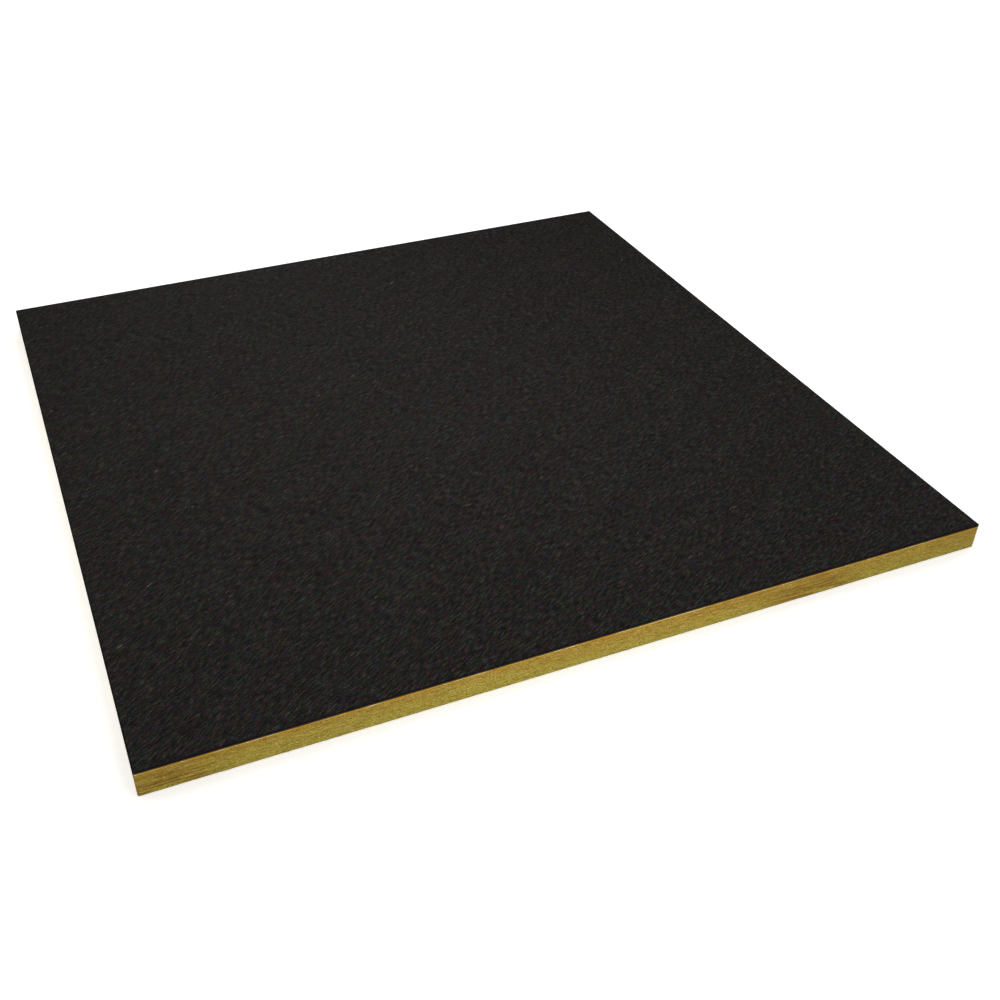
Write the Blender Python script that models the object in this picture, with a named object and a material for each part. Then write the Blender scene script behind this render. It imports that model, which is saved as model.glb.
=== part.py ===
# Lay-in acoustic ceiling tile with a square edge: a glass wool board faced with black glass tissue.
# Lengths are in metres. The tile lies on its back, as on a bench: X and Y run along its sides and
# +Z comes out of the black face. The origin is the middle of the back face.

import math

import bmesh
import bpy

# The grid that the tile drops into
MODULE_X = 0.600            # from the centre of one tee to the next along X
MODULE_Y = 0.600            # the same along Y
MODULE_PLAY = 0.005         # how much shorter than its module each side is cut

# Thicknesses, from the back up
TILE_THICKNESS = 0.020      # back of the wool to the black face
TISSUE_THICKNESS = 0.0006   # non-woven glass tissue with its black coat
BOND_LINE = 0.0003          # adhesive film between the wool and the tissue

# Edges
CORNER_RADIUS = 0.0012      # upright corners, blunted in handling
CORNER_SEGMENTS = 6
FACE_ARRIS = 0.0002         # rim of the tissue, pressed over by the trimming knife
BACK_ARRIS = 0.0008         # rim of the wool at the back, a little crushed
ARRIS_SEGMENTS = 3

# Faces that meet at less than this are shaded as one round surface
SMOOTH_ANGLE = math.radians(35.0)

# Colours as linear RGB
WOOL_COLOUR = (0.292, 0.205, 0.036, 1.0)
TISSUE_COLOUR = (0.019, 0.018, 0.016, 1.0)


def clear_scene():
    """Remove whatever the scene already holds."""
    for thing in list(bpy.data.objects):
        bpy.data.objects.remove(thing, do_unlink=True)


def principled(name, colour, roughness):
    """A non-metal Principled material."""
    material = bpy.data.materials.new(name)
    material.use_nodes = True
    shader = material.node_tree.nodes["Principled BSDF"]
    shader.inputs["Base Color"].default_value = colour
    shader.inputs["Roughness"].default_value = roughness
    shader.inputs["Metallic"].default_value = 0.0
    return material


def upright_edges(shape):
    """The edges that stand at a board's corners, each straight above its own foot."""
    return [edge for edge in shape.edges if edge.verts[0].co.xy == edge.verts[1].co.xy]


def level_face(shape, upper):
    """A board's upper face, or its lower one."""
    pick = max if upper else min
    return pick(shape.faces, key=lambda face: face.normal.z)


def board(name, bottom, top, eased_upper, arris, material):
    """A flat board as large as the tile, with blunted corners and the rim of one face eased."""
    shape = bmesh.new()
    bmesh.ops.create_cube(shape, size=1.0)
    for corner in shape.verts:
        corner.co.x *= MODULE_X - MODULE_PLAY
        corner.co.y *= MODULE_Y - MODULE_PLAY
        corner.co.z = top if corner.co.z > 0.0 else bottom
    bmesh.ops.bevel(shape, geom=upright_edges(shape), offset=CORNER_RADIUS, offset_type="OFFSET",
                    segments=CORNER_SEGMENTS, profile=0.5, affect="EDGES")
    bmesh.ops.recalc_face_normals(shape, faces=shape.faces)

    # The rim carries the bevel weight that the modifier below reads
    weight = shape.edges.layers.float.new("bevel_weight_edge")
    for edge in level_face(shape, eased_upper).edges:
        edge[weight] = 1.0

    mesh = bpy.data.meshes.new(name)
    shape.to_mesh(mesh)
    shape.free()
    mesh.materials.append(material)
    mesh.shade_smooth()
    mesh.set_sharp_from_angle(angle=SMOOTH_ANGLE)

    piece = bpy.data.objects.new(name, mesh)
    bpy.context.scene.collection.objects.link(piece)
    rim = piece.modifiers.new("eased rim", "BEVEL")
    rim.limit_method = "WEIGHT"
    rim.width = arris
    rim.segments = ARRIS_SEGMENTS
    rim.profile = 0.5
    return piece


def glass_wool_core():
    """The wool board, from the back of the tile up to the adhesive."""
    wool = principled("resin_bonded_glass_wool", WOOL_COLOUR, roughness=0.9)
    top = TILE_THICKNESS - TISSUE_THICKNESS - BOND_LINE
    return board("glass_wool_core", 0.0, top, eased_upper=False, arris=BACK_ARRIS, material=wool)


def tissue_facing():
    """The black tissue, from the adhesive up to the face of the tile, trimmed flush all round."""
    tissue = principled("black_glass_tissue", TISSUE_COLOUR, roughness=0.85)
    bottom = TILE_THICKNESS - TISSUE_THICKNESS
    return board("tissue_facing", bottom, TILE_THICKNESS, eased_upper=True, arris=FACE_ARRIS,
                 material=tissue)


clear_scene()
glass_wool_core()
tissue_facing()
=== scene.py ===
# A square acoustic ceiling tile lying on its back: a sawn glass wool board
# with a black glass tissue glued over its face. Lengths are in metres.

import math

import bmesh
import bpy
import numpy as np
from mathutils import Euler, Matrix, Vector


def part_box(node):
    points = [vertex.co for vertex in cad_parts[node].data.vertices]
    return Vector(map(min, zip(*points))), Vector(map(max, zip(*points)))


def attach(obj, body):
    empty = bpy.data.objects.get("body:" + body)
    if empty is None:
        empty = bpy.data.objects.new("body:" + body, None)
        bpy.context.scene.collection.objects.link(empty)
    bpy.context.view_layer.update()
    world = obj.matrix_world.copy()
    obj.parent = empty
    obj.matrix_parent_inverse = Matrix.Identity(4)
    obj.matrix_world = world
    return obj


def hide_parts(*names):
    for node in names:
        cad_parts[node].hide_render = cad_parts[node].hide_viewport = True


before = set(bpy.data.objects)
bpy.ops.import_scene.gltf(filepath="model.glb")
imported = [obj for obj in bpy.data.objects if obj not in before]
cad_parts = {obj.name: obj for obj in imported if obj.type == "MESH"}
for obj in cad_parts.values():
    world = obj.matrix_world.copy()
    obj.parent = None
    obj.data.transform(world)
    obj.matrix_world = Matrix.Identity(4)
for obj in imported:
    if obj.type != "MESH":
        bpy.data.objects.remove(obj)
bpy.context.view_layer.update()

mm = 0.001
tissueLow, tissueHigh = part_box("tissue_facing")
halfX = tissueHigh.x
halfY = tissueHigh.y
woolTop = tissueLow.z              # the wool meets the tissue here, with the glue squeezed out


def linear(hexColour):
    # sRGB hex to the linear RGBA that a socket takes
    parts = [int(hexColour[i:i + 2], 16) / 255 for i in (1, 3, 5)]
    return [p / 12.92 if p <= 0.04045 else ((p + 0.055) / 1.055) ** 2.4 for p in parts] + [1.0]


def socketOf(sockets, key):
    # by identifier first, because a Math or Mix node gives several sockets one name
    return next((s for s in sockets if s.identifier == key), None) or sockets[key]


def addNode(tree, kind, settings, inputs):
    # an input is a value, a socket, or a node whose first live output is meant
    node = tree.nodes.new(kind)
    for name, value in settings.items():
        setattr(node, name, value)
    for key, value in inputs.items():
        target = socketOf(node.inputs, key)
        if isinstance(value, bpy.types.Node):
            value = next(s for s in value.outputs if s.enabled)
        if isinstance(value, bpy.types.NodeSocket):
            tree.links.new(value, target)
        else:
            target.default_value = value
    return node


def newMaterial(name):
    material = bpy.data.materials.new(name)
    material.use_nodes = True
    return material, material.node_tree, material.node_tree.nodes["Principled BSDF"]


def newTree(name, inputs):
    # an empty Geometry Nodes tree: the tree, its named inputs, and the socket its result goes to
    tree = bpy.data.node_groups.new(name, "GeometryNodeTree")
    for label, kind in inputs.items():
        tree.interface.new_socket(label, in_out="INPUT", socket_type="NodeSocket" + kind)
    tree.interface.new_socket("Result", in_out="OUTPUT", socket_type="NodeSocketGeometry")
    given = tree.nodes.new("NodeGroupInput").outputs
    result = tree.nodes.new("NodeGroupOutput").inputs["Result"]
    return tree, given, result


def grow(name, carrier, tree, values):
    # runs a tree on a mesh and keeps what comes out as a plain mesh
    piece = bpy.data.objects.new(name, carrier)
    bpy.context.scene.collection.objects.link(piece)
    modifier = piece.modifiers.new(tree.name, "NODES")
    modifier.node_group = tree
    for item in tree.interface.items_tree:
        if item.in_out == "INPUT" and item.name in values:
            modifier[item.identifier] = values[item.name]
    grown = piece.evaluated_get(bpy.context.evaluated_depsgraph_get())
    mesh = bpy.data.meshes.new_from_object(grown)
    mesh.name = name
    piece.modifiers.clear()
    piece.data = mesh
    return piece


def mapped(tree, place, sizes, turn, noise):
    # noise whose lumps measure about sizes, in metres, turned by that many degrees about Z
    put = addNode(tree, "ShaderNodeMapping", {"vector_type": "TEXTURE"}, {
        "Vector": place, "Rotation": (0, 0, math.radians(turn)), "Scale": sizes,
    })
    return addNode(tree, "ShaderNodeTexNoise", {}, {"Vector": put, "Scale": 1.0, **noise})


def tones(tree, value, stops):
    # a ramp of (position, hex colour) stops
    ramp = addNode(tree, "ShaderNodeValToRGB", {}, {"Fac": value})
    elements = ramp.color_ramp.elements
    while len(elements) < len(stops):
        elements.new(0.5)
    for element, (position, colour) in zip(elements, stops):
        element.position = position
        element.color = linear(colour)
    return ramp


# Black-coated glass tissue: a wet-laid non-woven veil of glass strands in a black binder. Its
# strands lie mostly one way, so the eye gets a fine slanting grain, quite matt, with faint warm
# and cool flecks where the coat is thin.
tissueLook = {
    "stops": [(0.0, "#0d0d0c"), (0.3, "#191817"), (0.5, "#242220"), (0.7, "#353230"), (1.0, "#504d49")],
    "edge": "#0f1018",             # the trimmed rim, where the coat is thick
    "edgeWidth": 1.6 * mm,         # from the rim in to where that starts
    "edgeSolid": 0.4 * mm,         # and to where it shows most
    "edgeCover": 0.75,
    "grainTurn": 30.0,             # degrees from X at the middle, the way the veil ran
    "crossTurn": 3.0,              # the finer strands' turn from it
    "veer": math.radians(24),      # how much less the grain turns in each metre along X
    "grain": (6.0 * mm, 1.25 * mm, 1.25 * mm),      # bundles; one real strand is 0.013 mm wide
    "grit": (0.9 * mm, 0.9 * mm, 0.9 * mm),         # grains of the coat, drawn coarse enough to show
    "mottle": (30 * mm, 5.5 * mm, 5.5 * mm),        # denser and thinner streaks of the veil
    "weights": (0.66, 0.60, 0.20),                  # of grain, grit and mottle
    "hue": (3.4 * mm, 1.4 * mm, 1.6 * mm),          # patches of one hue
    "hueReach": (2.1, 1.9, 1.5),   # how far red, green and blue each stray there
    "hueSeed": 7.0,
    "roughness": 0.95,
    "specular": 0.02,
    "relief": 0.12 * mm,
    "reliefStrength": 0.6,
}


def alongGrain(tree, place):
    # Object coordinates bent so that a straight pattern follows the veil's slow turn: its slope
    # falls off evenly along X, so the bend adds a share of X squared to Y
    share = 0.5 * tissueLook["veer"] / math.cos(math.radians(tissueLook["grainTurn"])) ** 2
    parts = addNode(tree, "ShaderNodeSeparateXYZ", {}, {"Vector": place})
    square = addNode(tree, "ShaderNodeMath", {"operation": "POWER"}, {
        "Value": parts.outputs["X"], "Value_001": 2.0,
    })
    bent = addNode(tree, "ShaderNodeMath", {"operation": "MULTIPLY_ADD"}, {
        "Value": square, "Value_001": share, "Value_002": parts.outputs["Y"],
    })
    return addNode(tree, "ShaderNodeCombineXYZ", {}, {
        "X": parts.outputs["X"], "Y": bent, "Z": parts.outputs["Z"],
    })


def veilColour(tree, place, extra):
    # the veil's colour at a place, and the level from 0 to 1 that it comes from
    look = tissueLook
    veil = alongGrain(tree, place)
    grain = mapped(tree, veil, look["grain"], look["grainTurn"], {"Detail": 0.0})
    grit = mapped(tree, veil, look["grit"], 0, {"Detail": 0.0})
    mottle = mapped(tree, veil, look["mottle"], look["grainTurn"], {"Detail": 2.0})
    level = addNode(tree, "ShaderNodeMath", {"operation": "ADD"}, {
        "Value": 0.5 - 0.5 * sum(look["weights"]), "Value_001": extra,
    })
    for part, weight in zip((grain, grit, mottle), look["weights"]):
        level = addNode(tree, "ShaderNodeMath", {"operation": "MULTIPLY_ADD"}, {
            "Value": part, "Value_001": weight, "Value_002": level,
        })
    # red, green and blue each come from a noise of their own
    hue = mapped(tree, veil, look["hue"], look["grainTurn"], {"Detail": 1.0, "W": look["hueSeed"]})
    hue.noise_dimensions = "4D"
    tint = addNode(tree, "ShaderNodeVectorMath", {"operation": "MULTIPLY_ADD"}, {
        "Vector": hue.outputs["Color"], "Vector_001": look["hueReach"],
        "Vector_002": [1.0 - 0.5 * reach for reach in look["hueReach"]],
    })
    tinted = addNode(tree, "ShaderNodeMix", {"data_type": "RGBA", "blend_type": "MULTIPLY"}, {
        "Factor_Float": 1.0, "A_Color": tones(tree, level, look["stops"]), "B_Color": tint,
    })
    # how near the rim a point is, from 0 inside to 1 on it
    away = addNode(tree, "ShaderNodeVectorMath", {"operation": "ABSOLUTE"}, {"Vector": place})
    axes = addNode(tree, "ShaderNodeSeparateXYZ", {}, {"Vector": away})
    reach = addNode(tree, "ShaderNodeMath", {"operation": "MAXIMUM"}, {
        "Value": axes.outputs["X"], "Value_001": axes.outputs["Y"],
    })
    rim = addNode(tree, "ShaderNodeMapRange", {"interpolation_type": "SMOOTHSTEP"}, {
        "Value": reach, "From Min": halfX - look["edgeWidth"],
        "From Max": halfX - look["edgeSolid"], "To Max": look["edgeCover"],
    })
    edged = addNode(tree, "ShaderNodeMix", {"data_type": "RGBA"}, {
        "Factor_Float": rim, "A_Color": socketOf(tinted.outputs, "Result_Color"),
        "B_Color": linear(look["edge"]),
    })
    return socketOf(edged.outputs, "Result_Color"), level


def makeTissueMaterial():
    look = tissueLook
    material, tree, shader = newMaterial("blackCoatedGlassTissue")
    place = addNode(tree, "ShaderNodeTexCoord", {}, {}).outputs["Object"]
    colour, level = veilColour(tree, place, 0.0)
    bump = addNode(tree, "ShaderNodeBump", {}, {
        "Height": level, "Strength": look["reliefStrength"], "Distance": look["relief"],
    })
    tree.links.new(colour, shader.inputs["Base Color"])
    tree.links.new(bump.outputs["Normal"], shader.inputs["Normal"])
    shader.inputs["Roughness"].default_value = look["roughness"]
    shader.inputs["Specular IOR Level"].default_value = look["specular"]
    return material


# The veil's loose strands: the same glass and coat as the veil that they lie in, each a little
# lighter or darker, and now and then one that the coat missed, which shows as a pale fleck
strandLook = {
    "stray": 0.16,                 # from the lightest strand to the darkest
    "bare": "#8f8675",
    "bareShare": 0.003,
    "roughness": 0.85,
}


def makeStrandMaterial():
    look = strandLook
    material, tree, shader = newMaterial("blackCoatedGlassStrand")
    tone = addNode(tree, "ShaderNodeAttribute", {"attribute_name": "tone"}, {}).outputs["Fac"]
    place = addNode(tree, "ShaderNodeTexCoord", {}, {}).outputs["Object"]
    extra = addNode(tree, "ShaderNodeMath", {"operation": "MULTIPLY_ADD"}, {
        "Value": tone, "Value_001": look["stray"], "Value_002": -0.5 * look["stray"],
    })
    colour, level = veilColour(tree, place, extra)
    bare = addNode(tree, "ShaderNodeMapRange", {}, {
        "Value": tone, "From Min": 1.0 - look["bareShare"], "From Max": 1.0,
    })
    mixed = addNode(tree, "ShaderNodeMix", {"data_type": "RGBA"}, {
        "Factor_Float": bare, "A_Color": colour, "B_Color": linear(look["bare"]),
    })
    tree.links.new(socketOf(mixed.outputs, "Result_Color"), shader.inputs["Base Color"])
    shader.inputs["Roughness"].default_value = look["roughness"]
    shader.inputs["Specular IOR Level"].default_value = tissueLook["specular"]
    return material


# Resin-bonded glass wool: fibres laid flat in thin layers and set with a yellow resin, then
# sawn. The eye gets long level layers from straw to olive brown, with small dark pits where the
# saw plucked fibres out, paler where they lie bare, and quite matt.
# Light painted into this material: shade in the plucked hollows and the sawn face's hollows, and glints on
# the set glue.
woolLook = {
    "stops": [(0.0, "#705f22"), (0.3, "#8a7932"), (0.5, "#9b8a41"), (0.72, "#aa9b53"), (1.0, "#c6ba86")],
    "layer": (9 * mm, 9 * mm, 0.75 * mm),
    "band": (60 * mm, 60 * mm, 4.5 * mm),
    "speck": (1.2 * mm, 1.2 * mm, 0.55 * mm),
    "weights": (0.36, 0.22, 1.7),  # of layer, band and speck
    # patches of one noise each: they start to show at one level of it and show most at another
    "patches": {
        "zone": {                  # stretches where the resin pooled
            "size": (110 * mm, 110 * mm, 40 * mm), "detail": 0.0, "seed": 11.0,
            "start": 0.56, "full": 0.70, "cover": 1.0,
        },
        "streak": {                # and the streaks that it left there
            "size": (30 * mm, 30 * mm, 1.6 * mm), "detail": 2.0, "seed": 3.0,
            "start": 0.42, "full": 0.56, "cover": 0.85,
        },
        "bare": {                  # fibre combed out bare
            "size": (5 * mm, 5 * mm, 0.5 * mm), "detail": 2.0, "seed": 5.0,
            "start": 0.60, "full": 0.75, "cover": 0.70,
        },
        "pitShade": {                   # painted shade, standing for the dark of the hollows where the saw plucked fibre out
            "size": (2.8 * mm, 2.8 * mm, 1.1 * mm), "detail": 2.0, "seed": 9.0,
            "start": 0.69, "full": 0.79, "cover": 0.75,
        },
        "glint": {                  # painted glints, where glue set in small clear drops that catch the light
            "size": (2.4 * mm, 2.4 * mm, 2.4 * mm), "detail": 0.0, "seed": 13.0,
            "start": 0.72, "full": 0.78, "cover": 0.9,
        },
    },
    "resinColour": "#70490e",
    "bareColour": "#c0b07c",
    # painted shade for the plucked hollows
    "pitShadeColour": "#3d2e10",
    # painted glints for the set glue
    "glintColour": "#f6e2a4",
    "skin": (0.3 * mm, 0.5 * mm),  # heights over the back between which that resin comes in
    "skinShare": 0.2,              # all that shows of it below them
    "drift": (120 * mm, 120 * mm, 16 * mm),         # slow changes of tint in the batt
    "driftReach": 0.9,
    "tints": [(0.25, "#fcffe2"), (0.95, "#fae1bf")],    # from cool at the back to warm at the tissue
    "glue": [(0.33, "#b8861c"), (0.5, "#c49b3c"), (0.7, "#e2cb87")],
    "glueSize": (16 * mm, 16 * mm, 16 * mm),
    "glueDepth": 1.7 * mm,         # the amber glue soaked in this far
    "stainDepth": 1.1 * mm,        # and the tissue's black coat this far
    "soakFade": (0.1 * mm, 0.3 * mm),               # how far each fades out, below and above there
    "soakCover": 0.9,
    "shade": [(0.2, "#ffffff"), (1.0, "#efe4c8")],  # painted shade, from the sawn face's crests to its hollows
    "roughness": 0.95,
    "specular": 0.12,
    "relief": 0.25 * mm,
    "reliefStrength": 0.7,
}


def makeWoolMaterial():
    look = woolLook
    material, tree, shader = newMaterial("resinBondedGlassWool")
    place = addNode(tree, "ShaderNodeTexCoord", {}, {}).outputs["Object"]
    layer = mapped(tree, place, look["layer"], 0, {"Detail": 3.0, "Roughness": 0.6})
    band = mapped(tree, place, look["band"], 0, {"Detail": 1.0})
    speck = mapped(tree, place, look["speck"], 0, {"Detail": 2.0})
    total = 0.5 - 0.5 * sum(look["weights"])
    for part, weight in zip((speck, band, layer), reversed(look["weights"])):
        total = addNode(tree, "ShaderNodeMath", {"operation": "MULTIPLY_ADD"}, {
            "Value": part, "Value_001": weight, "Value_002": total,
        })
    colour = tones(tree, total, look["stops"]).outputs["Color"]
    height = addNode(tree, "ShaderNodeSeparateXYZ", {}, {"Vector": place}).outputs["Z"]
    level = addNode(tree, "ShaderNodeMapRange", {}, {
        "Value": height, "From Max": woolTop,
        "To Min": -0.5 * look["driftReach"], "To Max": 1.0 - 0.5 * look["driftReach"],
    })
    drifted = addNode(tree, "ShaderNodeMath", {"operation": "MULTIPLY_ADD"}, {
        "Value": mapped(tree, place, look["drift"], 0, {"Detail": 1.0}),
        "Value_001": look["driftReach"], "Value_002": level,
    })
    tint = tones(tree, drifted, look["tints"])
    mixed = addNode(tree, "ShaderNodeMix", {"data_type": "RGBA", "blend_type": "MULTIPLY"}, {
        "Factor_Float": 1.0, "A_Color": colour, "B_Color": tint,
    })
    cuts = {}
    for part, patch in look["patches"].items():
        lumps = mapped(tree, place, patch["size"], 0, {"Detail": patch["detail"], "W": patch["seed"]})
        lumps.noise_dimensions = "4D"
        cuts[part] = addNode(tree, "ShaderNodeMapRange", {}, {
            "Value": lumps, "From Min": patch["start"], "From Max": patch["full"], "To Max": patch["cover"],
        })
    inside = addNode(tree, "ShaderNodeMapRange", {}, {
        "Value": height, "From Min": look["skin"][0], "From Max": look["skin"][1],
        "To Min": look["skinShare"],
    })
    pooled = addNode(tree, "ShaderNodeMath", {"operation": "MULTIPLY"}, {
        "Value": cuts["zone"], "Value_001": cuts["streak"],
    })
    pooled = addNode(tree, "ShaderNodeMath", {"operation": "MULTIPLY"}, {
        "Value": pooled, "Value_001": inside,
    })
    # the glue and the tissue's black coat soaked into the wool just under the tissue
    below, above = look["soakFade"]
    glued, stained = [addNode(tree, "ShaderNodeMapRange", {"interpolation_type": "SMOOTHSTEP"}, {
        "Value": height, "From Min": woolTop - depth - below, "From Max": woolTop - depth + above,
        "To Max": look["soakCover"],
    }) for depth in (look["glueDepth"], look["stainDepth"])]
    # painted glints of set glue, only where the glue soaked in
    glints = addNode(tree, "ShaderNodeMath", {"operation": "MULTIPLY"}, {
        "Value": cuts["glint"], "Value_001": glued,
    })
    glue = tones(tree, mapped(tree, place, look["glueSize"], 0, {"Detail": 2.0}), look["glue"])
    # each over the last: the resin, the bare fibre, the plucked hollows' painted shade, the glue, its
    # painted glints and the tissue's coat
    for cover, tone in (
        (pooled, linear(look["resinColour"])), (cuts["bare"], linear(look["bareColour"])),
        (cuts["pitShade"], linear(look["pitShadeColour"])), (glued, glue), (glints, linear(look["glintColour"])),
        (stained, linear(tissueLook["edge"])),
    ):
        mixed = addNode(tree, "ShaderNodeMix", {"data_type": "RGBA"}, {
            "Factor_Float": cover, "A_Color": socketOf(mixed.outputs, "Result_Color"), "B_Color": tone,
        })
    # painted shade: the hollows of the sawn face are drawn darker than its crests, on top of the shade that
    # their real depth casts
    depth = addNode(tree, "ShaderNodeAttribute", {"attribute_name": "depth"}, {})
    shade = tones(tree, depth.outputs["Fac"], look["shade"])
    shaded = addNode(tree, "ShaderNodeMix", {"data_type": "RGBA", "blend_type": "MULTIPLY"}, {
        "Factor_Float": 1.0, "A_Color": socketOf(mixed.outputs, "Result_Color"), "B_Color": shade,
    })
    bump = addNode(tree, "ShaderNodeBump", {}, {
        "Height": total, "Strength": look["reliefStrength"], "Distance": look["relief"],
    })
    tree.links.new(socketOf(shaded.outputs, "Result_Color"), shader.inputs["Base Color"])
    tree.links.new(bump.outputs["Normal"], shader.inputs["Normal"])
    shader.inputs["Roughness"].default_value = look["roughness"]
    shader.inputs["Specular IOR Level"].default_value = look["specular"]
    return material


# The wool's loose fibres: bare glass to thickly resined, one tone to each fibre, and darker or
# paler together where they matted
fibreLook = {
    "stops": [(0.0, "#7c6a24"), (0.3, "#8b7934"), (0.6, "#998941"), (0.9, "#a99a55"), (1.0, "#c6ba8a")],
    "mat": (3.2 * mm, 3.2 * mm, 1.3 * mm),
    "matShare": 0.9,
    "roughness": 0.8,
}


def makeFibreMaterial():
    look = fibreLook
    material, tree, shader = newMaterial("resinedGlassFibre")
    tone = addNode(tree, "ShaderNodeAttribute", {"attribute_name": "tone"}, {})
    place = addNode(tree, "ShaderNodeTexCoord", {}, {}).outputs["Object"]
    matted = mapped(tree, place, look["mat"], 0, {"Detail": 2.0})
    total = addNode(tree, "ShaderNodeMath", {"operation": "MULTIPLY_ADD"}, {
        "Value": matted, "Value_001": look["matShare"], "Value_002": tone.outputs["Fac"],
    })
    centred = addNode(tree, "ShaderNodeMath", {"operation": "SUBTRACT"}, {
        "Value": total, "Value_001": 0.5 * look["matShare"],
    })
    ramp = tones(tree, centred, look["stops"])
    tree.links.new(ramp.outputs["Color"], shader.inputs["Base Color"])
    shader.inputs["Roughness"].default_value = look["roughness"]
    shader.inputs["Specular IOR Level"].default_value = woolLook["specular"]
    return material


tissueMaterial = makeTissueMaterial()
strandMaterial = makeStrandMaterial()
woolMaterial = makeWoolMaterial()
fibreMaterial = makeFibreMaterial()
for node, material in (("glass_wool_core", woolMaterial), ("tissue_facing", tissueMaterial)):
    bpy.data.objects[node].data.materials.clear()
    bpy.data.objects[node].data.materials.append(material)
print("materials made")


# The slab that the board and the tissue are both cut from
slabShape = {
    "cornerRadius": 1.2 * mm,
    "cornerSteps": 4,
    "arrisSteps": 3,
    "border": 3.0 * mm,            # from the rim to the regular grid of a face
    "level": 0.7,                  # a face whose normal stands up or down past this counts as level
    "mapMargin": 0.01,             # bare strip at each end of a band of the map, as a share of it
    "mapGap": 0.05,                # and along each side of it
}


def outline(inset, pitch):
    # the tile's rounded square in plan, anticlockwise, drawn in by inset
    radius = slabShape["cornerRadius"]
    arcs = []
    for turn, (signX, signY) in enumerate(((1, -1), (1, 1), (-1, 1), (-1, -1))):
        centre = np.array((signX * (halfX - radius), signY * (halfY - radius)))
        angles = np.linspace(turn - 1, turn, slabShape["cornerSteps"] + 1) * math.pi / 2
        arcs.append(centre + (radius - inset) * np.column_stack((np.cos(angles), np.sin(angles))))
    points = []
    for arc, following in zip(arcs, arcs[1:] + arcs[:1]):
        run = following[0] - arc[-1]
        count = round(np.linalg.norm(run) / pitch)
        points += list(arc) + [arc[-1] + run * i / count for i in range(1, count)]
    return points


def slabMesh(name, profile, pitch, lowPitch, highPitch):
    # rings of the outline up a profile of (inset, height), each end closed by a grid of its own
    shape = bmesh.new()
    rings = []
    for inset, height in profile:
        rings.append([shape.verts.new((x, y, height)) for x, y in outline(inset, pitch)])
    for lower, upper in zip(rings, rings[1:]):
        for i in range(len(lower)):
            shape.faces.new((lower[i - 1], lower[i], upper[i], upper[i - 1]))
    for ring, gridPitch in ((rings[0], lowPitch), (rings[-1], highPitch)):
        sides = (halfX - slabShape["border"], halfY - slabShape["border"])
        place = Matrix.Translation((0, 0, ring[0].co.z)) @ Matrix.Diagonal((*sides, 1, 1))
        grid = bmesh.ops.create_grid(
            shape, x_segments=round(2 * sides[0] / gridPitch), y_segments=round(2 * sides[1] / gridPitch),
            size=1.0, matrix=place,
        )
        rim = {edge for vert in grid["verts"] for edge in vert.link_edges if edge.is_boundary}
        rim |= {edge for vert in ring for edge in vert.link_edges if edge.is_boundary}
        bmesh.ops.triangle_fill(shape, use_beauty=True, use_dissolve=False, edges=list(rim))
    bmesh.ops.recalc_face_normals(shape, faces=shape.faces)
    mesh = bpy.data.meshes.new(name)
    shape.to_mesh(mesh)
    shape.free()
    mesh.shade_smooth()
    return mesh


def bandMap(mesh, bands):
    # the map that the looks are baked through: the four sides, the back and the face, each in a
    # band of its own height, with nothing shared
    corner = np.empty(len(mesh.loops), int)
    mesh.loops.foreach_get("vertex_index", corner)
    points = np.empty(3 * len(mesh.vertices))
    mesh.vertices.foreach_get("co", points)
    count = np.empty(len(mesh.polygons), int)
    mesh.polygons.foreach_get("loop_total", count)
    normals = np.array([polygon.normal for polygon in mesh.polygons]).repeat(count, 0)
    x, y, z = (points.reshape(-1, 3)[corner] / (halfX, halfY, 1)).T
    z = (z - z.min()) / (z.max() - z.min())
    endOn = np.abs(normals[:, 0]) > np.abs(normals[:, 1])       # faces that look along X
    level = np.abs(normals[:, 2]) > slabShape["level"]
    choice = np.select(
        [level & (normals[:, 2] < 0), level, endOn & (normals[:, 0] > 0), endOn, normals[:, 1] > 0],
        [4, 5, 1, 3, 2], 0,
    )
    floors = np.cumsum([0.0] + bands)
    along = np.where(endOn & ~level, y, x) * 0.5 + 0.5
    across = np.where(level, y * 0.5 + 0.5, z)
    height = np.array(bands)[choice]
    margin, gap = slabShape["mapMargin"], slabShape["mapGap"]
    u = margin + (1 - 2 * margin) * along
    v = floors[choice] + height * (gap + (1 - 2 * gap) * across)
    mesh.uv_layers.new(name="OFBake").uv.foreach_set("vector", np.column_stack((u, v)).ravel())


# The wool board, sawn on all four sides, with its back rim a little crushed
boardLook = {
    "pitch": 1.5 * mm,             # between columns along a side
    "rows": 38,                    # up a side
    "backPitch": 4.0 * mm,
    "hiddenPitch": 20.0 * mm,      # under the tissue
    "arris": 0.8 * mm,
    "depth": 0.22 * mm,            # of the sawn face's hollows
    "layerShare": 0.6,             # how much of them follows the layers
    "gritShare": 0.4,              # and how much the specks
    "crest": 0.66,                 # the noise's level on a crest
    "trough": 0.34,                # and in the deepest hollow
    "hold": 1.5 * mm,              # they fade out this near the tissue and the back rim
    "holdShare": 0.1,              # to this share of their depth
    "glued": 0.01 * mm,            # what lies this near the tissue stays where it is
    "bands": [0.07] * 4 + [0.68, 0.04],             # of the map: four sides, the back and the face
}


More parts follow.
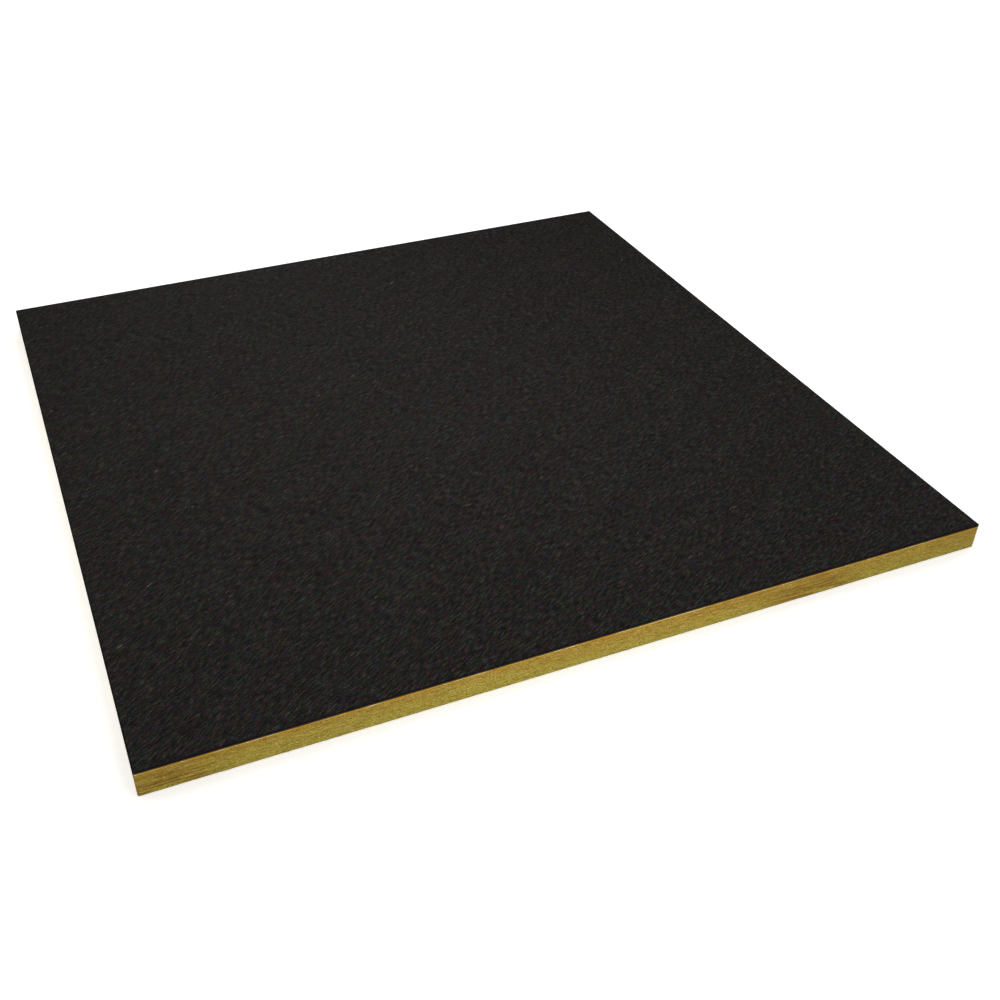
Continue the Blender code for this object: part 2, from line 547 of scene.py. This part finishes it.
def sawnReliefTree():
    # presses the hollows of a sawn fibre face into a mesh, along the same layers as its colour
    look = boardLook
    tree, given, result = newTree("sawn relief", {
        "Board": "Geometry", "Layer": "Vector", "Grit": "Vector", "Depth": "Float", "Top": "Float",
        "Reach": "Float", "Hold": "Float", "Glued": "Float", "Material": "Material",
    })
    place = addNode(tree, "GeometryNodeInputPosition", {}, {})
    total = 0.0
    for size, share in (("Layer", look["layerShare"]), ("Grit", look["gritShare"])):
        put = addNode(tree, "ShaderNodeVectorMath", {"operation": "DIVIDE"}, {
            "Vector": place, "Vector_001": given[size],
        })
        lump = addNode(tree, "ShaderNodeTexNoise", {}, {"Vector": put, "Scale": 1.0, "Detail": 2.0})
        total = addNode(tree, "ShaderNodeMath", {"operation": "MULTIPLY_ADD"}, {
            "Value": lump, "Value_001": share, "Value_002": total,
        })
    # layers that are bright in colour stand out: 0 on a crest, 1 in the deepest hollow
    hollow = addNode(tree, "ShaderNodeMapRange", {}, {
        "Value": total, "From Min": look["crest"], "From Max": look["trough"],
    })
    height = addNode(tree, "ShaderNodeSeparateXYZ", {}, {"Vector": place})
    below = addNode(tree, "ShaderNodeMath", {"operation": "SUBTRACT"}, {
        "Value": given["Top"], "Value_001": height.outputs["Z"],
    })
    # the way to the back rim: up the side, or in from the side on the back
    away = addNode(tree, "ShaderNodeVectorMath", {"operation": "ABSOLUTE"}, {"Vector": place})
    axes = addNode(tree, "ShaderNodeSeparateXYZ", {}, {"Vector": away})
    reach = addNode(tree, "ShaderNodeMath", {"operation": "MAXIMUM"}, {
        "Value": axes.outputs["X"], "Value_001": axes.outputs["Y"],
    })
    within = addNode(tree, "ShaderNodeMath", {"operation": "SUBTRACT"}, {
        "Value": given["Reach"], "Value_001": reach,
    })
    fromRim = addNode(tree, "ShaderNodeMath", {"operation": "MAXIMUM"}, {
        "Value": within, "Value_001": axes.outputs["Z"],
    })
    nearest = addNode(tree, "ShaderNodeMath", {"operation": "MINIMUM"}, {
        "Value": below, "Value_001": fromRim,
    })
    held = addNode(tree, "ShaderNodeMapRange", {}, {
        "Value": nearest, "From Max": given["Hold"], "To Min": look["holdShare"],
    })
    share = addNode(tree, "ShaderNodeMath", {"operation": "MULTIPLY"}, {
        "Value": hollow, "Value_001": held,
    })
    # the wool's material also reads this to paint shade into the hollows
    marked = addNode(tree, "GeometryNodeStoreNamedAttribute", {"data_type": "FLOAT", "domain": "POINT"}, {
        "Geometry": given["Board"], "Name": "depth", "Value": share,
    })
    press = addNode(tree, "ShaderNodeMath", {"operation": "MULTIPLY"}, {
        "Value": share, "Value_001": given["Depth"],
    })
    normal = addNode(tree, "GeometryNodeInputNormal", {}, {})
    inward = addNode(tree, "ShaderNodeMath", {"operation": "MULTIPLY"}, {
        "Value": press, "Value_001": -1.0,
    })
    offset = addNode(tree, "ShaderNodeVectorMath", {"operation": "SCALE"}, {
        "Vector": normal.outputs["Normal"], "Scale": inward,
    })
    free = addNode(tree, "FunctionNodeCompare", {"data_type": "FLOAT", "operation": "GREATER_THAN"}, {
        "A": below, "B": given["Glued"],
    })
    pressed = addNode(tree, "GeometryNodeSetPosition", {}, {
        "Geometry": marked, "Selection": free, "Offset": offset,
    })
    plain = addNode(tree, "GeometryNodeRealizeInstances", {}, {"Geometry": pressed})
    coated = addNode(tree, "GeometryNodeSetMaterial", {}, {
        "Geometry": plain, "Material": given["Material"],
    })
    tree.links.new(coated.outputs["Geometry"], result)
    return tree


def makeBoard():
    look = boardLook
    turns = [math.pi / 2 * i / slabShape["arrisSteps"] for i in range(slabShape["arrisSteps"])]
    profile = [(look["arris"] * (1 - math.sin(a)), look["arris"] * (1 - math.cos(a))) for a in turns]
    profile += [(0.0, height) for height in np.linspace(look["arris"], woolTop, look["rows"] + 1)]
    mesh = slabMesh("woolBoard", profile, look["pitch"], look["backPitch"], look["hiddenPitch"])
    bandMap(mesh, look["bands"])
    return grow("woolBoard", mesh, sawnReliefTree(), {
        "Layer": woolLook["layer"], "Grit": woolLook["speck"], "Depth": look["depth"], "Top": woolTop,
        "Reach": halfX, "Hold": look["hold"], "Glued": look["glued"], "Material": woolMaterial,
    })


# The black tissue, laid over the wool and trimmed flush with its sides
sheetLook = {
    "pitch": 3.0 * mm,
    "hiddenPitch": 20.0 * mm,      # the glued side
    "arris": 0.2 * mm,             # rim pressed over by the trimming knife
    "bands": [0.01] * 4 + [0.04, 0.92],             # of the map, as on the board
}


def makeSheet():
    look = sheetLook
    turns = [math.pi / 2 * i / slabShape["arrisSteps"] for i in range(slabShape["arrisSteps"] + 1)]
    profile = [(0.0, tissueLow.z)]
    profile += [
        (look["arris"] * (1 - math.cos(a)), tissueHigh.z - look["arris"] * (1 - math.sin(a))) for a in turns
    ]
    mesh = slabMesh("tissueSheet", profile, look["pitch"], look["hiddenPitch"], look["pitch"])
    bandMap(mesh, look["bands"])
    mesh.materials.append(tissueMaterial)
    piece = bpy.data.objects.new("tissueSheet", mesh)
    bpy.context.scene.collection.objects.link(piece)
    return piece


board = makeBoard()
print("wool board made:", len(board.data.polygons), "faces")
sheet = makeSheet()
print("tissue sheet made:", len(sheet.data.polygons), "faces")


# What all the fibres have in common, and the cell of the bake map that each is laid in
fibreShape = {
    "knees": 3,                    # along a fibre, its two ends included
    "sides": 3,                    # round it
    "taper": 0.35,                 # its ends' thickness, as a share of its middle's
    "bowStep": 50.0,               # how far their noise moves on from the darkest to the palest
    "cellMargin": 0.15,            # the rest in shares of a cell
    "kneeStep": 0.3,
    "sideStep": 0.33,
    "sideSkew": 0.08,              # of the middle side, so that the closed ends have an area
}


def laidFibreTree():
    # strews short thin fibres over a carrier, each lying in the carrier's surface
    look = fibreShape
    tree, given, result = newTree("laid fibres", {
        "Carrier": "Geometry", "Density": "Float", "Seed": "Int", "Shortest": "Float",
        "Longest": "Float", "Width": "Float", "Flatness": "Float", "Turn": "Float", "Veer": "Float",
        "Spread": "Float", "Lift": "Float", "Bow": "Float", "Bow Size": "Float", "Low": "Vector",
        "High": "Vector", "Material": "Material",
    })
    scatter = addNode(tree, "GeometryNodeDistributePointsOnFaces", {"distribute_method": "RANDOM"}, {
        "Mesh": given["Carrier"], "Density": given["Density"], "Seed": given["Seed"],
    })
    # turned from the way the surface runs: by Turn, and at random by Spread and Lift
    facing = addNode(tree, "ShaderNodeSeparateXYZ", {}, {"Vector": scatter.outputs["Normal"]})
    rise = addNode(tree, "ShaderNodeMath", {"operation": "ABSOLUTE"}, {"Value": facing.outputs["Z"]})
    upright = addNode(tree, "ShaderNodeMath", {"operation": "LESS_THAN"}, {"Value": rise, "Value_001": 0.5})
    along = addNode(tree, "FunctionNodeAlignRotationToVector", {"axis": "Y", "pivot_axis": "Z"}, {
        "Vector": scatter.outputs["Normal"], "Factor": upright,
    })
    most = addNode(tree, "ShaderNodeCombineXYZ", {}, {"Y": given["Lift"], "Z": given["Spread"]})
    least = addNode(tree, "ShaderNodeVectorMath", {"operation": "SCALE"}, {"Vector": most, "Scale": -1.0})
    chance = addNode(tree, "FunctionNodeRandomValue", {"data_type": "FLOAT_VECTOR"}, {
        "Min": least, "Max": most, "Seed": given["Seed"],
    })
    spot = addNode(tree, "GeometryNodeInputPosition", {}, {})
    spotParts = addNode(tree, "ShaderNodeSeparateXYZ", {}, {"Vector": spot})
    eased = addNode(tree, "ShaderNodeMath", {"operation": "MULTIPLY"}, {
        "Value": spotParts.outputs["X"], "Value_001": given["Veer"],
    })
    turned = addNode(tree, "ShaderNodeMath", {"operation": "SUBTRACT"}, {
        "Value": given["Turn"], "Value_001": eased,
    })
    main = addNode(tree, "ShaderNodeCombineXYZ", {}, {"Z": turned})
    angles = addNode(tree, "ShaderNodeVectorMath", {"operation": "ADD"}, {
        "Vector": chance, "Vector_001": main,
    })
    swing = addNode(tree, "FunctionNodeEulerToRotation", {}, {"Euler": angles})
    laid = addNode(tree, "FunctionNodeRotateRotation", {"rotation_space": "LOCAL"}, {
        "Rotation": along, "Rotate By": swing,
    })
    length = addNode(tree, "FunctionNodeRandomValue", {"data_type": "FLOAT"}, {
        "Min_001": given["Shortest"], "Max_001": given["Longest"], "Seed": given["Seed"],
    })
    stretch = addNode(tree, "ShaderNodeCombineXYZ", {}, {"X": length, "Y": 1.0, "Z": 1.0})
    line = addNode(tree, "GeometryNodeCurvePrimitiveLine", {}, {
        "Start": (-0.5, 0, 0), "End": (0.5, 0, 0),
    })
    knees = addNode(tree, "GeometryNodeResampleCurve", {}, {"Curve": line, "Count": look["knees"]})
    strewn = addNode(tree, "GeometryNodeInstanceOnPoints", {}, {
        "Points": scatter.outputs["Points"], "Instance": knees, "Rotation": laid, "Scale": stretch,
    })
    shade = addNode(tree, "FunctionNodeRandomValue", {"data_type": "FLOAT"}, {
        "Min_001": 0.0, "Max_001": 1.0, "Seed": addNode(tree, "ShaderNodeMath", {"operation": "ADD"}, {
            "Value": given["Seed"], "Value_001": 1.0,
        }),
    })
    toned = addNode(tree, "GeometryNodeStoreNamedAttribute", {"data_type": "FLOAT", "domain": "INSTANCE"}, {
        "Geometry": strewn, "Name": "tone", "Value": shade,
    })
    loose = addNode(tree, "GeometryNodeRealizeInstances", {}, {"Geometry": toned})
    # bowed by a noise that differs from fibre to fibre, and kept inside the tile's own box
    place = addNode(tree, "GeometryNodeInputPosition", {}, {})
    tone = addNode(tree, "GeometryNodeInputNamedAttribute", {"data_type": "FLOAT"}, {"Name": "tone"})
    scale = addNode(tree, "ShaderNodeMath", {"operation": "DIVIDE"}, {
        "Value": 1.0, "Value_001": given["Bow Size"],
    })
    sway = addNode(tree, "ShaderNodeTexNoise", {"noise_dimensions": "4D"}, {
        "Vector": place, "W": addNode(tree, "ShaderNodeMath", {"operation": "MULTIPLY"}, {
            "Value": tone, "Value_001": look["bowStep"],
        }), "Scale": scale, "Detail": 0.0,
    })
    centred = addNode(tree, "ShaderNodeVectorMath", {"operation": "SUBTRACT"}, {
        "Vector": sway.outputs["Color"], "Vector_001": (0.5, 0.5, 0.5),
    })
    shift = addNode(tree, "ShaderNodeVectorMath", {"operation": "SCALE"}, {
        "Vector": centred, "Scale": given["Bow"],
    })
    moved = addNode(tree, "ShaderNodeVectorMath", {"operation": "ADD"}, {
        "Vector": place, "Vector_001": shift,
    })
    lifted = addNode(tree, "ShaderNodeVectorMath", {"operation": "MAXIMUM"}, {
        "Vector": moved, "Vector_001": given["Low"],
    })
    held = addNode(tree, "ShaderNodeVectorMath", {"operation": "MINIMUM"}, {
        "Vector": lifted, "Vector_001": given["High"],
    })
    bowed = addNode(tree, "GeometryNodeSetPosition", {}, {"Geometry": loose, "Position": held})
    levelled = addNode(tree, "GeometryNodeSetCurveNormal", {}, {"Curve": bowed})
    levelled.mode = "Z_UP"
    # thickest in the middle
    part = addNode(tree, "GeometryNodeSplineParameter", {}, {})
    arch = addNode(tree, "ShaderNodeMath", {"operation": "SINE"}, {
        "Value": addNode(tree, "ShaderNodeMath", {"operation": "MULTIPLY"}, {
            "Value": part.outputs["Factor"], "Value_001": math.pi,
        }),
    })
    taper = addNode(tree, "ShaderNodeMapRange", {}, {"Value": arch, "To Min": look["taper"]})
    ring = addNode(tree, "GeometryNodeCurvePrimitiveCircle", {"mode": "RADIUS"}, {
        "Resolution": look["sides"], "Radius": addNode(tree, "ShaderNodeMath", {"operation": "MULTIPLY"}, {
            "Value": given["Width"], "Value_001": 0.5,
        }),
    })
    flat = addNode(tree, "GeometryNodeTransform", {}, {
        "Geometry": ring, "Scale": addNode(tree, "ShaderNodeCombineXYZ", {}, {
            "X": 1.0, "Y": given["Flatness"], "Z": 1.0,
        }),
    })
    swept = addNode(tree, "GeometryNodeCurveToMesh", {}, {
        "Curve": levelled, "Profile Curve": flat, "Scale": taper, "Fill Caps": True,
    })
    plain = addNode(tree, "GeometryNodeRealizeInstances", {}, {"Geometry": swept})
    coated = addNode(tree, "GeometryNodeSetMaterial", {}, {
        "Geometry": plain, "Material": given["Material"],
    })
    tree.links.new(coated.outputs["Geometry"], result)
    return tree


fibreTree = laidFibreTree()


def fibreCount(mesh):
    return len(mesh.vertices) // (fibreShape["knees"] * fibreShape["sides"])


def atlasMap(mesh):
    # the bake map of a heap of fibres: a small cell for each, with its length along the cell.
    # A fibre's points come knee after knee, those round one knee together.
    look = fibreShape
    corner = np.empty(len(mesh.loops), int)
    mesh.loops.foreach_get("vertex_index", corner)
    fibre, point = np.divmod(corner, look["knees"] * look["sides"])
    knee, around = np.divmod(point, look["sides"])
    across = math.ceil(math.sqrt(fibreCount(mesh)))
    skewed = look["sideSkew"] * (around == 1)
    u = (fibre % across + look["cellMargin"] + look["kneeStep"] * knee + skewed) / across
    v = (fibre // across + look["cellMargin"] + look["sideStep"] * around) / across
    mesh.uv_layers.new(name="OFBake").uv.foreach_set("vector", np.column_stack((u, v)).ravel())


def plates(name, corners):
    # a carrier of separate rectangles, each given by three of its corners, anticlockwise
    shape = bmesh.new()
    for a, b, c in corners:
        a, b, c = Vector(a), Vector(b), Vector(c)
        shape.faces.new([shape.verts.new(v) for v in (a, b, c, a + c - b)])
    mesh = bpy.data.meshes.new(name)
    shape.to_mesh(mesh)
    shape.free()
    return mesh


def boxCorners(inset, low, high):
    # three corners of each side of the tile's box, seen from outside and drawn in by inset
    x, y = halfX - inset, halfY - inset
    return [
        ((-x, -y, low), (x, -y, low), (x, -y, high)),
        ((x, -y, low), (x, y, low), (x, y, high)),
        ((x, y, low), (-x, y, low), (-x, y, high)),
        ((-x, y, low), (-x, -y, low), (-x, -y, high)),
    ]


# Fibres that the saw combed out of the wool's sides: most lie level, a few hang askew
edgeFibreLook = {
    "Density": 320000.0,           # in a square metre
    "Seed": 11,
    "Shortest": 1.6 * mm,
    "Longest": 8 * mm,
    "Width": 0.16 * mm,            # real ones are 0.006 mm; drawn as thick as shows
    "Flatness": 0.9,
    "Turn": 0.0,
    "Veer": 0.0,
    "Spread": math.radians(3),
    "Lift": math.radians(9),
    "Bow": 0.9 * mm,
    "Bow Size": 5 * mm,
    # how far the faces that they grow on, and then they themselves, keep from sides, back and tissue
    "sunk": 0.12 * mm,
    "foot": 0.5 * mm,
    "head": 1.8 * mm,
    "sideRoom": 0.05 * mm,
    "footRoom": 0.15 * mm,
    "headRoom": 1.5 * mm,
}

# Fibres on the back, where they lie every way
backFibreLook = {
    "Density": 19500.0,
    "Seed": 23,
    "Shortest": 5 * mm,
    "Longest": 22 * mm,
    "Width": 0.22 * mm,
    "Flatness": 0.8,
    "Turn": 0.0,
    "Veer": 0.0,
    "Spread": math.pi,
    "Lift": 0.0,
    "Bow": 7 * mm,
    "Bow Size": 9 * mm,
    # what they keep clear of the sides, the height that they grow at, and their lowest and highest
    "sideRoom": 1 * mm,
    "foot": 0.2 * mm,
    "footRoom": 0.12 * mm,
    "headRoom": 0.35 * mm,
}

# Strands of the veil: a lower ply along its grain and a narrower upper one a little across it
lowerStrandLook = {
    "Density": 38000.0,
    "Seed": 37,
    "Shortest": 2.5 * mm,
    "Longest": 6.5 * mm,
    "Width": 0.4 * mm,             # bundles of strands
    "Flatness": 0.35,
    "Turn": math.radians(tissueLook["grainTurn"]),
    "Veer": tissueLook["veer"],
    "Spread": math.radians(2.5),
    "Lift": 0.0,
    "Bow": 0.2 * mm,
    "Bow Size": 5 * mm,
    # how far their middle lines keep from the rim, and may lie under and over the tissue's face
    "sideRoom": 0.4 * mm,
    "under": 0.03 * mm,
    "over": 0.02 * mm,
}
upperStrandLook = {
    **lowerStrandLook,
    "Seed": 41,
    "Shortest": 2 * mm,
    "Longest": 5 * mm,
    "Width": 0.3 * mm,
    "Turn": math.radians(tissueLook["grainTurn"] + tissueLook["crossTurn"]),
    "Spread": math.radians(4),
}


def layFibres(name, corners, look, low, high, material):
    values = {**look, "Low": low, "High": high, "Material": material}
    piece = grow(name, plates(name, corners), fibreTree, values)
    atlasMap(piece.data)
    print(name, "made:", fibreCount(piece.data), "fibres")
    return piece


def layEdgeFibres():
    look = edgeFibreLook
    corners = boxCorners(look["sunk"], look["foot"], woolTop - look["head"])
    x, y = halfX - look["sideRoom"], halfY - look["sideRoom"]
    low = (-x, -y, look["footRoom"])
    high = (x, y, woolTop - look["headRoom"])
    return layFibres("edgeFibres", corners, look, low, high, fibreMaterial)


def layBackFibres():
    # the corners run clockwise from above, so that the carrier faces down
    look = backFibreLook
    x, y = halfX - look["sideRoom"], halfY - look["sideRoom"]
    corners = [((-x, y, look["foot"]), (x, y, look["foot"]), (x, -y, look["foot"]))]
    low = (-x, -y, look["footRoom"])
    high = (x, y, look["headRoom"])
    return layFibres("backFibres", corners, look, low, high, fibreMaterial)


def layStrands(name, look):
    face = tissueHigh.z
    corners = [((-halfX, -halfY, face), (halfX, -halfY, face), (halfX, halfY, face))]
    x, y = halfX - look["sideRoom"], halfY - look["sideRoom"]
    low = (-x, -y, face - look["under"])
    high = (x, y, face + look["over"])
    return layFibres(name, corners, look, low, high, strandMaterial)


edgeFibres = layEdgeFibres()
backFibres = layBackFibres()
lowerStrands = layStrands("lowerStrands", lowerStrandLook)
upperStrands = layStrands("upperStrands", upperStrandLook)

for piece, slot in (
    (board, "glass_wool"), (edgeFibres, "glass_wool"), (backFibres, "glass_wool"),
    (sheet, "black_tissue"), (lowerStrands, "black_tissue"), (upperStrands, "black_tissue"),
):
    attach(piece, "root")
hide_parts("glass_wool_core")
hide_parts("tissue_facing")
print("pieces placed")


# Camera: near the photograph's, with the frame shifted as if the picture had been cropped
cameraPlace = {
    "location": (-0.3015, -0.7804, 0.5424),
    "aim": (-0.0372, -0.1278, 0.0200),
    "roll": -0.21,                 # degrees
    "lens": 43.42,
    "sensor": 36.0,                # wide, in millimetres as the lens is
    "shiftX": 0.05,
    "nearest": 10 * mm,            # nothing nearer the lens is drawn
}


def addCamera():
    camera = bpy.data.objects.new("camera", bpy.data.cameras.new("camera"))
    bpy.context.scene.collection.objects.link(camera)
    camera.location = cameraPlace["location"]
    sight = Vector(cameraPlace["aim"]) - Vector(cameraPlace["location"])
    roll = Euler((0, 0, math.radians(cameraPlace["roll"]))).to_quaternion()
    camera.rotation_euler = (sight.to_track_quat("-Z", "Y") @ roll).to_euler()
    camera.data.lens = cameraPlace["lens"]
    camera.data.sensor_width = cameraPlace["sensor"]
    camera.data.shift_x = cameraPlace["shiftX"]
    camera.data.clip_start = cameraPlace["nearest"]
    bpy.context.scene.camera = camera


addCamera()

# Studio: a pale floor, a white sky that is brighter towards the horizon so that the low sides
# are lit from all round, a soft lamp over the tile and a low wide one before each of its sides
studio = {
    "floorSize": 12.0,
    "floorTone": 0.9,
    "floorRoughness": 0.9,
    "floorGlow": 0.54,             # only for the rays that show a backdrop, to bring it to white
    "zenith": 0.25,
    "horizon": 1.05,
    "overLamp": {
        "place": (-0.02, -0.02, 0.47), "aim": (-0.02, -0.03, 0.0), "size": (0.4, 0.4), "power": 1.01,
    },
    "sideLamp": {
        "place": (0.0, -0.75, 0.06), "aim": (0.0, -0.3, 0.01), "size": (0.3, 0.08), "power": 1.15,
    },
}


def seenRays(tree):
    # 1 for the rays that show a backdrop: from the camera, or by way of a glossy or clear surface
    ray = addNode(tree, "ShaderNodeLightPath", {}, {}).outputs
    either = addNode(tree, "ShaderNodeMath", {"operation": "MAXIMUM"}, {
        "Value": ray["Is Camera Ray"], "Value_001": ray["Is Glossy Ray"],
    })
    return addNode(tree, "ShaderNodeMath", {"operation": "MAXIMUM"}, {
        "Value": either, "Value_001": ray["Is Transmission Ray"],
    })


def addSky():
    world = bpy.data.worlds.new("studio sky")
    bpy.context.scene.world = world
    world.use_nodes = True
    tree = world.node_tree
    sky = tree.nodes["Background"]
    sky.inputs["Color"].default_value = (1, 1, 1, 1)
    way = addNode(tree, "ShaderNodeTexCoord", {}, {})
    rise = addNode(tree, "ShaderNodeSeparateXYZ", {}, {"Vector": way.outputs["Generated"]})
    level = addNode(tree, "ShaderNodeMapRange", {}, {
        "Value": rise.outputs["Z"], "To Min": studio["horizon"], "To Max": studio["zenith"],
    })
    tree.links.new(level.outputs["Result"], sky.inputs["Strength"])
    white = addNode(tree, "ShaderNodeBackground", {}, {"Color": (1, 1, 1, 1), "Strength": 1.0})
    mix = addNode(tree, "ShaderNodeMixShader", {}, {
        "Fac": seenRays(tree), "Shader": sky.outputs["Background"],
        "Shader_001": white.outputs["Background"],
    })
    tree.links.new(mix.outputs["Shader"], tree.nodes["World Output"].inputs["Surface"])


def addFloor():
    shape = bmesh.new()
    bmesh.ops.create_grid(shape, x_segments=1, y_segments=1, size=studio["floorSize"] / 2)
    mesh = bpy.data.meshes.new("floor")
    shape.to_mesh(mesh)
    shape.free()
    floor = bpy.data.objects.new("floor", mesh)
    bpy.context.scene.collection.objects.link(floor)
    material, tree, shader = newMaterial("whiteStudioPaper")
    shader.inputs["Base Color"].default_value = (*[studio["floorTone"]] * 3, 1)
    shader.inputs["Roughness"].default_value = studio["floorRoughness"]
    strength = addNode(tree, "ShaderNodeMath", {"operation": "MULTIPLY"}, {
        "Value": seenRays(tree), "Value_001": studio["floorGlow"],
    })
    glow = addNode(tree, "ShaderNodeEmission", {}, {"Color": (1, 1, 1, 1), "Strength": strength})
    both = addNode(tree, "ShaderNodeAddShader", {}, {
        "Shader": shader.outputs["BSDF"], "Shader_001": glow.outputs["Emission"],
    })
    tree.links.new(both.outputs["Shader"], tree.nodes["Material Output"].inputs["Surface"])
    mesh.materials.append(material)


def addLamp(name, turn, place, aim, size, power):
    # turn, in degrees, carries the lamp and its aim round the tile
    lamp = bpy.data.lights.new(name, "AREA")
    lamp.shape = "RECTANGLE"
    lamp.size, lamp.size_y = size
    lamp.energy = power
    holder = bpy.data.objects.new(name, lamp)
    holder.visible_camera = False
    swing = Matrix.Rotation(math.radians(turn), 3, "Z")
    holder.location = swing @ Vector(place)
    holder.rotation_euler = (swing @ (Vector(aim) - Vector(place))).to_track_quat("-Z", "Y").to_euler()
    bpy.context.scene.collection.objects.link(holder)


bpy.context.scene.view_settings.view_transform = "Standard"
addSky()
addFloor()
addLamp("over lamp", 0, **studio["overLamp"])
for name, turn in (("front lamp", 0), ("right lamp", 90), ("back lamp", 180), ("left lamp", 270)):
    addLamp(name, turn, **studio["sideLamp"])
print("studio ready")
